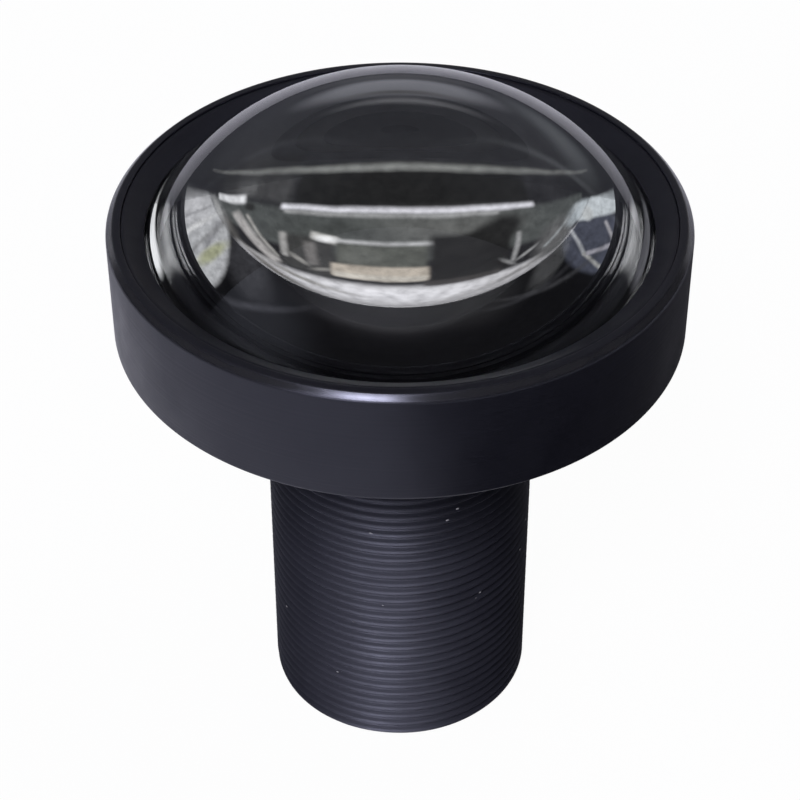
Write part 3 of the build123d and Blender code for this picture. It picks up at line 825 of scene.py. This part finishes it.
# %% Panels behind the lens
# Name, centre across and up, half width and height, softness, tilt (all in degrees), colour,
# and 1 at the end for an oval.
BEHIND = [
    ("high_glow", 0, 60, 55, 17, 14, 0, (0.10, 0.10, 0.115)),
    ("grey_block", 33, 40, 12, 6, 3, 0, (0.060, 0.060, 0.063)),
    ("grey_wall", 0, 27, 46, 5.5, 2.4, 0, (0.085, 0.092, 0.092)),
    ("wall_sheen", -8, 29, 12, 4, 9, 0, (0.140, 0.142, 0.140), 1),
    ("wall_shade", 12, 28.5, 8, 2, 4, 0, (0.070, 0.075, 0.074), 1),
    ("paper_sweep", 0, -3, 52, 15.6, 3.5, 0, (0.72, 0.71, 0.75)),
    ("sweep_shine", 2, 7, 17, 4.5, 6, 0, (0.90, 0.89, 0.95), 1),
    ("sweep_shade", 26, 6, 9, 2.2, 4, 38, (0.26, 0.25, 0.24), 1),
    ("sweep_streak", 19, 9.5, 9, 1.0, 2.4, 16, (0.34, 0.33, 0.32), 1),
    ("sweep_streak_right", -24, 9, 11, 1.6, 4, -22, (0.36, 0.35, 0.36), 1),
    ("dim_left_end", 42, 14, 6, 9, 5, 0, (0.13, 0.125, 0.12), 1),
    ("dim_right_end", -34, 16, 7, 9, 6, 0, (0.16, 0.16, 0.165), 1),
    ("arm_left", 30, 20.5, 9.5, 1.9, 2.6, 47, (0.50, 0.48, 0.48)),
    ("arm_left_thin", 27.5, 22.5, 7.5, 0.5, 1.4, 52, (0.40, 0.39, 0.38)),
    ("side_streak_right", -44, 22, 6.5, 6, 4, 12, (0.42, 0.46, 0.50), 1),
    ("right_thin_streak", -36, 22, 9, 0.6, 1.8, -40, (0.34, 0.36, 0.38)),
    ("side_streak_left", 46, 22, 3, 6, 3, -20, (0.26, 0.26, 0.26), 1),
    ("boxes_left", 16.5, 20, 5.5, 6, 2.0, 0, (0.055, 0.055, 0.055)),
    ("box_post", 21.5, 22, 0.8, 4, 1.4, -4, (0.38, 0.37, 0.37)),
    ("box_top", 13, 26.0, 2.6, 0.9, 1.4, 10, (0.55, 0.54, 0.53)),
    ("box_face", 15.5, 21, 1.2, 3.4, 1.8, -10, (0.20, 0.19, 0.19)),
    ("box_clutter", 18.4, 18.5, 2.2, 0.7, 1.2, 34, (0.33, 0.32, 0.31), 1),
    ("box_clutter_low", 13.4, 16.5, 2.0, 0.6, 1.2, -22, (0.28, 0.27, 0.26), 1),
    ("grey_box", 3, 22.5, 7.5, 3.0, 1.6, 0, (0.105, 0.11, 0.10)),
    ("grey_box_light", 6.5, 22, 3.0, 2.2, 3, 0, (0.145, 0.15, 0.14), 1),
    ("beige_box", 3.3, 17.4, 8.3, 2.2, 1.3, 0, (0.52, 0.46, 0.40)),
    ("beige_foot", 3.3, 15.9, 8.0, 0.9, 1.6, 0, (0.62, 0.58, 0.53)),
    ("box_edge", 4, 25.7, 10, 0.4, 1.2, 0, (0.52, 0.52, 0.54)),
    ("box_edge_light", 12.6, 25.8, 2.0, 0.8, 1.2, 0, (0.85, 0.85, 0.87), 1),
    ("dark_box", -12.5, 20.5, 7.4, 7.0, 2.0, 0, (0.018, 0.018, 0.018)),
    ("dark_slope", -17, 27, 6.5, 3.2, 2.6, -24, (0.020, 0.020, 0.020), 1),
    ("dark_foot", -11, 13.8, 7, 1.0, 1.6, 0, (0.06, 0.055, 0.055)),
    ("cable", -21.5, 21, 0.6, 5.0, 1.2, 8, (0.34, 0.34, 0.35)),
    ("cable_turn", -24, 17.5, 2.8, 0.6, 1.2, -35, (0.34, 0.34, 0.35), 1),
    ("cable_low", -20, 16, 2.4, 0.5, 1.0, 50, (0.30, 0.30, 0.31), 1),
    ("dark_above", -3, 38.5, 23, 4.5, 2.2, 0, (0.016, 0.016, 0.016)),
    ("shelf_light", -2, 33.0, 25, 0.65, 1.4, 0, (0.74, 0.73, 0.80)),
    ("shelf_under", 2, 31.9, 20, 0.4, 1.2, 0, (0.36, 0.36, 0.37)),
    ("window_corner", 39.5, 31.8, 6.2, 1.5, 2.0, -14, (0.78, 0.78, 0.82)),
    ("window_gap", 31.5, 31.0, 1.6, 1.2, 1.4, 0, (0.03, 0.03, 0.03), 1),
    ("critical_line", 0, 41.9, 56, 0.7, 1.5, 0, (0.50, 0.51, 0.50)),
]
print("behind", len(BEHIND))

# %% Panels at the sides
SIDES = [
    ("far_left", 124, 31, 20, 6.5, 3, 0, (1.05, 1.06, 1.10), 1),
    ("far_right", -122, 33, 22, 6, 4, 0, (0.10, 0.10, 0.115), 1),
    ("dim_left", 70, 33, 16, 7, 7, 0, (0.035, 0.035, 0.04), 1),
    ("pale_side", 82.5, 11, 20.5, 17, 3.0, 0, (0.46, 0.465, 0.49), 1),
    ("side_bloom", 92, 12, 6, 7, 6, 0, (0.52, 0.52, 0.55), 1),
    ("beyond_side", 108, 6, 8, 18, 3, 0, (0.02, 0.02, 0.025)),
    ("pale_fold", 84, 21, 9, 1.4, 3.0, 30, (0.24, 0.24, 0.26), 1),
    ("pale_fold_low", 79, 14, 10, 0.7, 2.4, 50, (0.26, 0.26, 0.27), 1),
    ("thin_fold", 90, 9, 9, 0.5, 1.6, 62, (0.30, 0.30, 0.32), 1),
    ("pale_ridge", 85.5, 12, 9, 0.8, 2.2, 55, (0.72, 0.72, 0.74), 1),
    ("pale_ridge_low", 73, 13, 7, 0.7, 1.8, 52, (0.66, 0.66, 0.64), 1),
    ("green_fold", 76, 20, 7.5, 2.4, 2.6, 58, (0.36, 0.37, 0.25), 1),
    ("dark_pane", -80, 16, 12, 15, 3.0, 0, (0.060, 0.065, 0.090), 1),
    ("bar_across", -81, 25, 6.4, 0.7, 1.5, -31, (0.36, 0.37, 0.40)),
    ("bar_edge", -72, 16, 7.6, 0.7, 1.5, -56, (0.36, 0.36, 0.36)),
    ("bar_down", -77.5, 15, 6.4, 0.8, 1.5, 76, (0.34, 0.33, 0.38)),
    ("bar_foot", -83.5, 10.5, 5.2, 0.7, 1.5, -24, (0.34, 0.33, 0.36)),
    ("white_post", -94.5, 13, 4.0, 12, 2.0, -4, (0.56, 0.60, 0.64)),
    ("post_top", -92.5, 20, 3, 2.4, 2.0, 0, (0.56, 0.58, 0.60), 1),
    ("faint_line", -62, 30, 14, 0.7, 2.6, 45, (0.045, 0.045, 0.05), 1),
    ("faint_line_low", -56, 36, 12, 0.7, 2.6, 30, (0.035, 0.035, 0.04), 1),
    ("faint_line_left", 52, 27, 12, 1.2, 4.0, -60, (0.05, 0.05, 0.06), 1),
    ("front_trace", 0, 50, 46, 2.0, 5.0, 0, (0.024, 0.024, 0.026), 1),
]
print("at the sides", len(SIDES))

# %% Glints and lamps
# What the outside of the dome mirrors, weakened by its coating: first what is behind the
# lens, then what is on the camera's side.
GLINTS = [
    ("haze", 0, 30, 70, 34, 40, 0, (0.14, 0.145, 0.18)),
    ("sweep_glint", 0, 12, 15, 8, 6, 0, (0.82, 0.83, 0.94), 1),
    ("seam", 0, 0, 10, 3.0, 4, 0, (0.22, 0.22, 0.25), 1),
    ("shelf_shade", 0, 17, 8, 1.6, 3, 0, (0.40, 0.40, 0.42), 1),
    ("shelf_glint", 2, 24, 12, 1.8, 3.5, 0, (0.90, 0.90, 0.98), 1),
    ("right_glint", 30, 8, 12, 4.0, 7, 24, (0.42, 0.45, 0.50), 1),
    ("right_streak", 38, 22, 15, 1.4, 4, -50, (0.55, 0.58, 0.64), 1),
    ("left_streak", -30, 30, 16, 1.2, 4, 55, (0.26, 0.27, 0.32), 1),
]
NEAR_GLINTS = [
    ("ceiling", 0, 74, 180, 20, 30, 0, (0.30, 0.30, 0.36)),
    ("front_bloom", 12, 58, 55, 7, 12, 0, (0.55, 0.55, 0.62), 1),
    ("front_streak", 30, 52, 26, 1.6, 5, -8, (0.50, 0.50, 0.58), 1),
    ("left_bloom", 75, 34, 26, 12, 18, 0, (0.40, 0.42, 0.52), 1),
    ("right_bloom", -45, 54, 26, 6, 12, 10, (0.45, 0.45, 0.48), 1),
]
# The soft lamps beside the photographer. Azimuth is measured from the camera, to the left.
# The coating on the dome keeps it from mirroring them, so sharp reflections leave them out.
LAMP_SIDE = [
    ("rim_lamp", 15, 48, 11, 9, 8, 0, (26.0, 25.5, 30.0), 1),
    ("low_lamp", 20, 22, 16, 8, 10, 0, (4.2, 4.1, 5.0), 1),
]
print("glints", len(GLINTS) + len(NEAR_GLINTS), "lamps", len(LAMP_SIDE))

# %% Directions in the room
# Between the panels: the room, the third bounce in the glass, and the outside of the dome.
DARK_ROOM, DEEP_DARK, COAT_DARK = (0.022, 0.022, 0.025, 1), (0.004, 0.004, 0.0045, 1), (0.05, 0.05, 0.065, 1)
INSIDE_LIGHT, CAMERA_WHITE = (2.0, 2.0, 2.08, 1.0), (1.0, 1.0, 1.0, 1.0)
# A ray counts one bounce more when it reaches the room than it made on the lens.
DEEP_BOUNCES, OUTER_BOUNCE, ANY_BOUNCE = 4.5, 2.5, 0.5
WOBBLE_SCALE, WOBBLE_DEGREES = 6.0, 0.6
GRAIN_SCALE, GRAIN_LIGHT = 24.0, (0.72, 1.22)

world = bpy.data.worlds.new("room")
scene.world = world
world.use_nodes = True
tree = world.node_tree
wcalc = partial(calc, tree)
ground = tree.nodes["Background"]
facing = put(tree, "ShaderNodeTexCoord").outputs["Generated"]
way = put(tree, "ShaderNodeSeparateXYZ", {"Vector": facing}).outputs
# A slow noise bends the edges a little, so that no panel looks ruled.
bend = put(tree, "ShaderNodeTexNoise", {"Vector": facing}, Scale=WOBBLE_SCALE, Detail=3.0)
bend_parts = put(tree, "ShaderNodeSeparateXYZ", {"Vector": bend.outputs["Color"]}).outputs


def bent(angle, part):
    """An angle in degrees, moved a little by the noise."""
    push = wcalc("MULTIPLY", wcalc("SUBTRACT", bend_parts[part], 0.5), 2 * WOBBLE_DEGREES)
    return wcalc("ADD", wcalc("DEGREES", angle), push)


azimuth = bent(wcalc("ARCTAN2", way["X"], way["Y"]), "X")
elevation = bent(wcalc("ARCSINE", way["Z"]), "Y")
wall_height = bent(wcalc("ARCTAN2", way["Z"], way["Y"]), "Z")
turned_x, turned_y = (wcalc("MULTIPLY", way[axis], -1.0) for axis in "XY")
from_camera = wcalc("DEGREES", wcalc("ARCTAN2", turned_x, turned_y))
print("direction nodes", len(tree.nodes))

# %% Draw the room
PANEL_NUMBERS = ("Centre Across", "Centre Up", "Half Width", "Half Height", "Softness", "Tilt", "Round")


def draw_panels(panels, across_angle, up, background):
    """Lays each panel over the ones before it, and gives the colour of the whole."""
    total = background
    for name, across, height, half_width, half_height, softness, tilt, colour, *oval in panels:
        node = put(tree, "ShaderNodeGroup", {"Across": across_angle, "Up": up}, node_tree=panel)
        node.label = name
        numbers = (across, height, half_width, half_height, softness, tilt, float(bool(oval)))
        for key, value in zip(PANEL_NUMBERS, numbers):
            node.inputs[key].default_value = value
        total = mix_colours(tree, node.outputs["Mask"], total, (*colour, 1))
    return total


# Patches and fine grain in the light, so that no panel is one flat tone.
grain = put(tree, "ShaderNodeTexNoise", {"Vector": facing}, Scale=GRAIN_SCALE, Detail=4.0, Roughness=0.6)
tone = remap(tree, grain.outputs["Fac"], NOISE_SPAN, GRAIN_LIGHT)


def grained(colour):
    """A colour made lighter and darker by the grain."""
    return put(tree, "ShaderNodeVectorMath", {0: colour, "Scale": tone}, operation="SCALE").outputs[0]


behind = grained(draw_panels(BEHIND, azimuth, wall_height, DARK_ROOM))
deep = grained(draw_panels(SIDES, azimuth, elevation, DEEP_DARK))
rim_side = draw_panels(LAMP_SIDE, from_camera, elevation, DARK_ROOM)
coat_far = draw_panels(GLINTS, azimuth, elevation, COAT_DARK)
coat_near = draw_panels(NEAR_GLINTS, from_camera, elevation, COAT_DARK)
print("room nodes", len(tree.nodes))

# %% What each ray meets
path = put(tree, "ShaderNodeLightPath").outputs
far_side = wcalc("GREATER_THAN", way["Y"], 0.0)
mirrored = path["Is Singular Ray"]
lamp_side = mix_colours(tree, mirrored, rim_side, DARK_ROOM)
room = mix_colours(tree, far_side, lamp_side, behind)
room = mix_colours(tree, wcalc("GREATER_THAN", path["Ray Depth"], DEEP_BOUNCES), room, deep)
off_coating = wcalc("MULTIPLY", mirrored, wcalc("LESS_THAN", path["Ray Depth"], OUTER_BOUNCE))
room = mix_colours(tree, off_coating, room, mix_colours(tree, far_side, coat_near, coat_far))
# Dull surfaces under the glass are lit by the whole bright studio, not by what mirrors show.
under_glass = wcalc("MULTIPLY", *(wcalc("GREATER_THAN", path[f"{kind} Depth"], ANY_BOUNCE)
                                  for kind in ("Diffuse", "Transmission")))
room = mix_colours(tree, under_glass, room, INSIDE_LIGHT)
shown = mix_colours(tree, path["Is Camera Ray"], room, CAMERA_WHITE)
tree.links.new(shown, ground.inputs["Color"])
print("room panels", len(BEHIND) + len(SIDES) + len(GLINTS) + len(NEAR_GLINTS) + len(LAMP_SIDE))

# %% [markdown]
# ## Lamps
# One wide soft lamp hangs high on the right, a little behind the lens, so that the shadow
# falls forward and to the left. A wider, cooler one at the front left fills in. Both are kept
# out of reflections, because the photograph's dome mirrors no lamp: what shines in the black
# and in the glass is the paper and the room.

# %% Lamps
LAMP_AIM = (0, 0, 12)
GLOSSY_BOUNCES = 8


def soft_lamp(name, place_mm, size_mm, watts, colour):
    """A round soft lamp aimed at the lens, seen by dull surfaces alone."""
    data = bpy.data.lights.new(name, "AREA")
    data.shape = "DISK"
    data.size = size_mm * MM
    data.energy = watts
    data.color = colour
    lamp = bpy.data.objects.new(name, data)
    lamp.location = Vector(place_mm) * MM
    lamp.rotation_euler = (Vector(LAMP_AIM) - Vector(place_mm)).to_track_quat("-Z", "Y").to_euler()
    lamp.visible_camera = False
    lamp.visible_glossy = False
    lamp.visible_transmission = False
    scene.collection.objects.link(lamp)
    return lamp


soft_lamp("high_lamp", (70, 40, 265), 130, 0.14, (1.0, 0.99, 0.98))
soft_lamp("left_lamp", (-230, -120, 190), 180, 0.18, (0.80, 0.84, 1.0))
scene.cycles.glossy_bounces = GLOSSY_BOUNCES
print("lamps", [light.name for light in bpy.data.lights])
